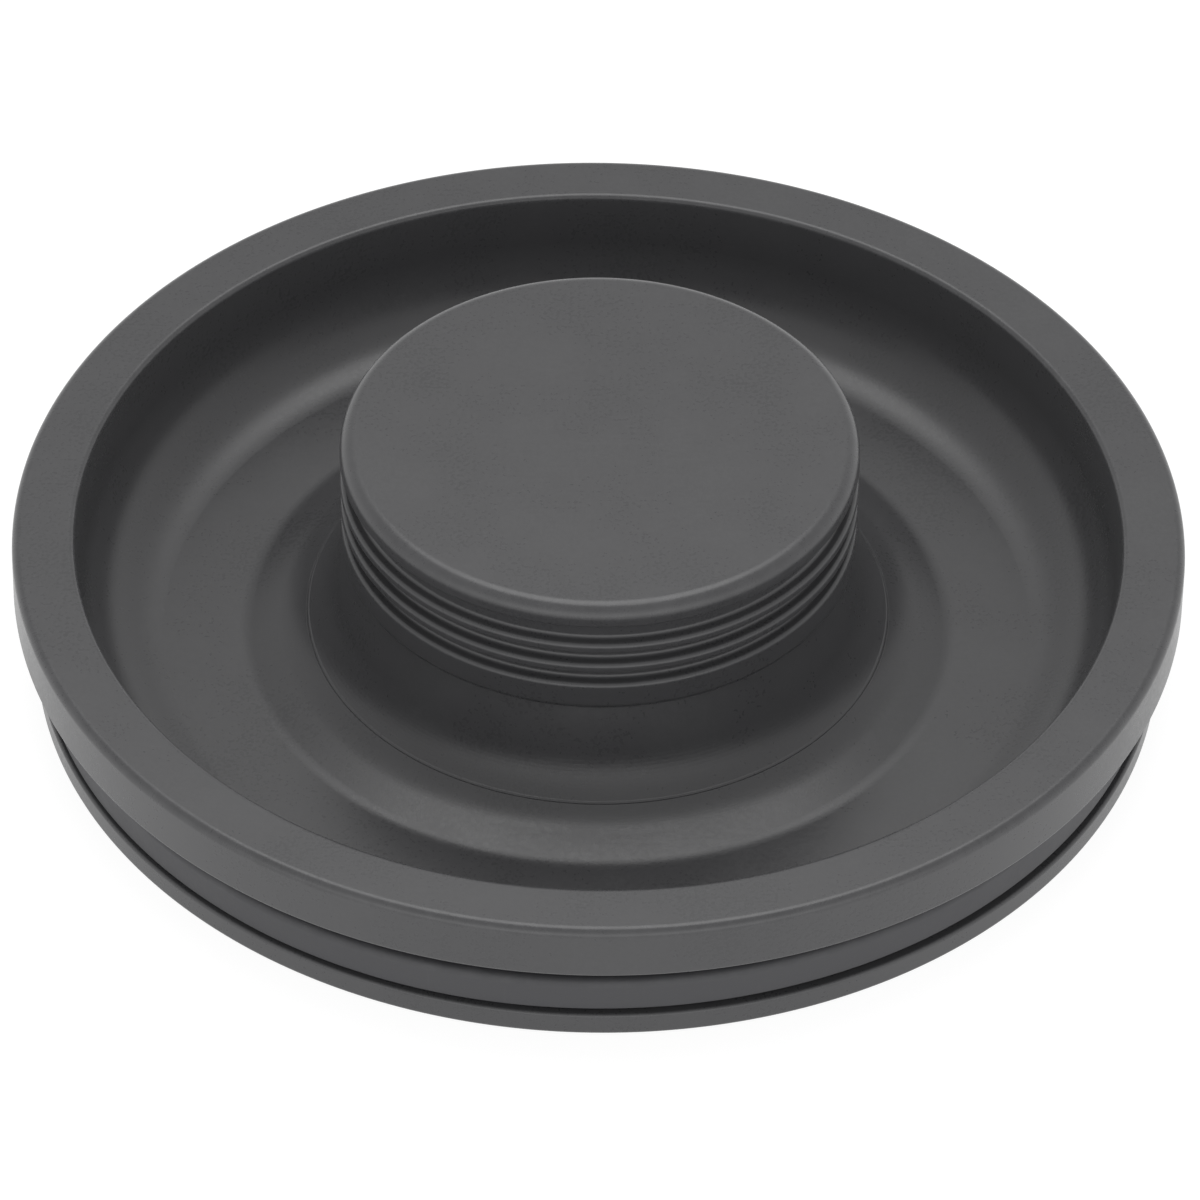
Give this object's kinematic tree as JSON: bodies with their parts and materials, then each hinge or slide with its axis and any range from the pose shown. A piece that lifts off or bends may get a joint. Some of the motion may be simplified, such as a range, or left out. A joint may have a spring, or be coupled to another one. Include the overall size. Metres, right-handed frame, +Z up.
{
  "type": "garbage disposal stopper",
  "caption": "Round dished drain stopper with a ribbed central knob and a rubber sealing ring under its rim, for a kitchen disposal.",
  "frame": {"origin": "on the axis, in the plane of the foot ring that the stopper rests on", "axes": "+Z up along the axis of revolution; X and Y are alike"},
  "size_m": [0.086, 0.086, 0.02],
  "materials": {
    "dish_plastic": "fine moulded texture, matt charcoal",
    "knob_plastic": "fine moulded texture, matt charcoal",
    "seal_rubber": "soft matt black rubber",
    "plate_plastic": "fine moulded texture, matt charcoal",
    "o_ring_rubber": "smooth black rubber",
    "stainless_steel": "plain stainless steel"
  },
  "bodies": {
    "root": {"upper_dish": "dish_plastic", "knob": "knob_plastic", "sealing_ring": "seal_rubber", "base_plate": "plate_plastic", "knob_o_ring": "o_ring_rubber", "clamp_screw": "stainless_steel", "screw_washer": "stainless_steel"}
  },
  "joints": []
}
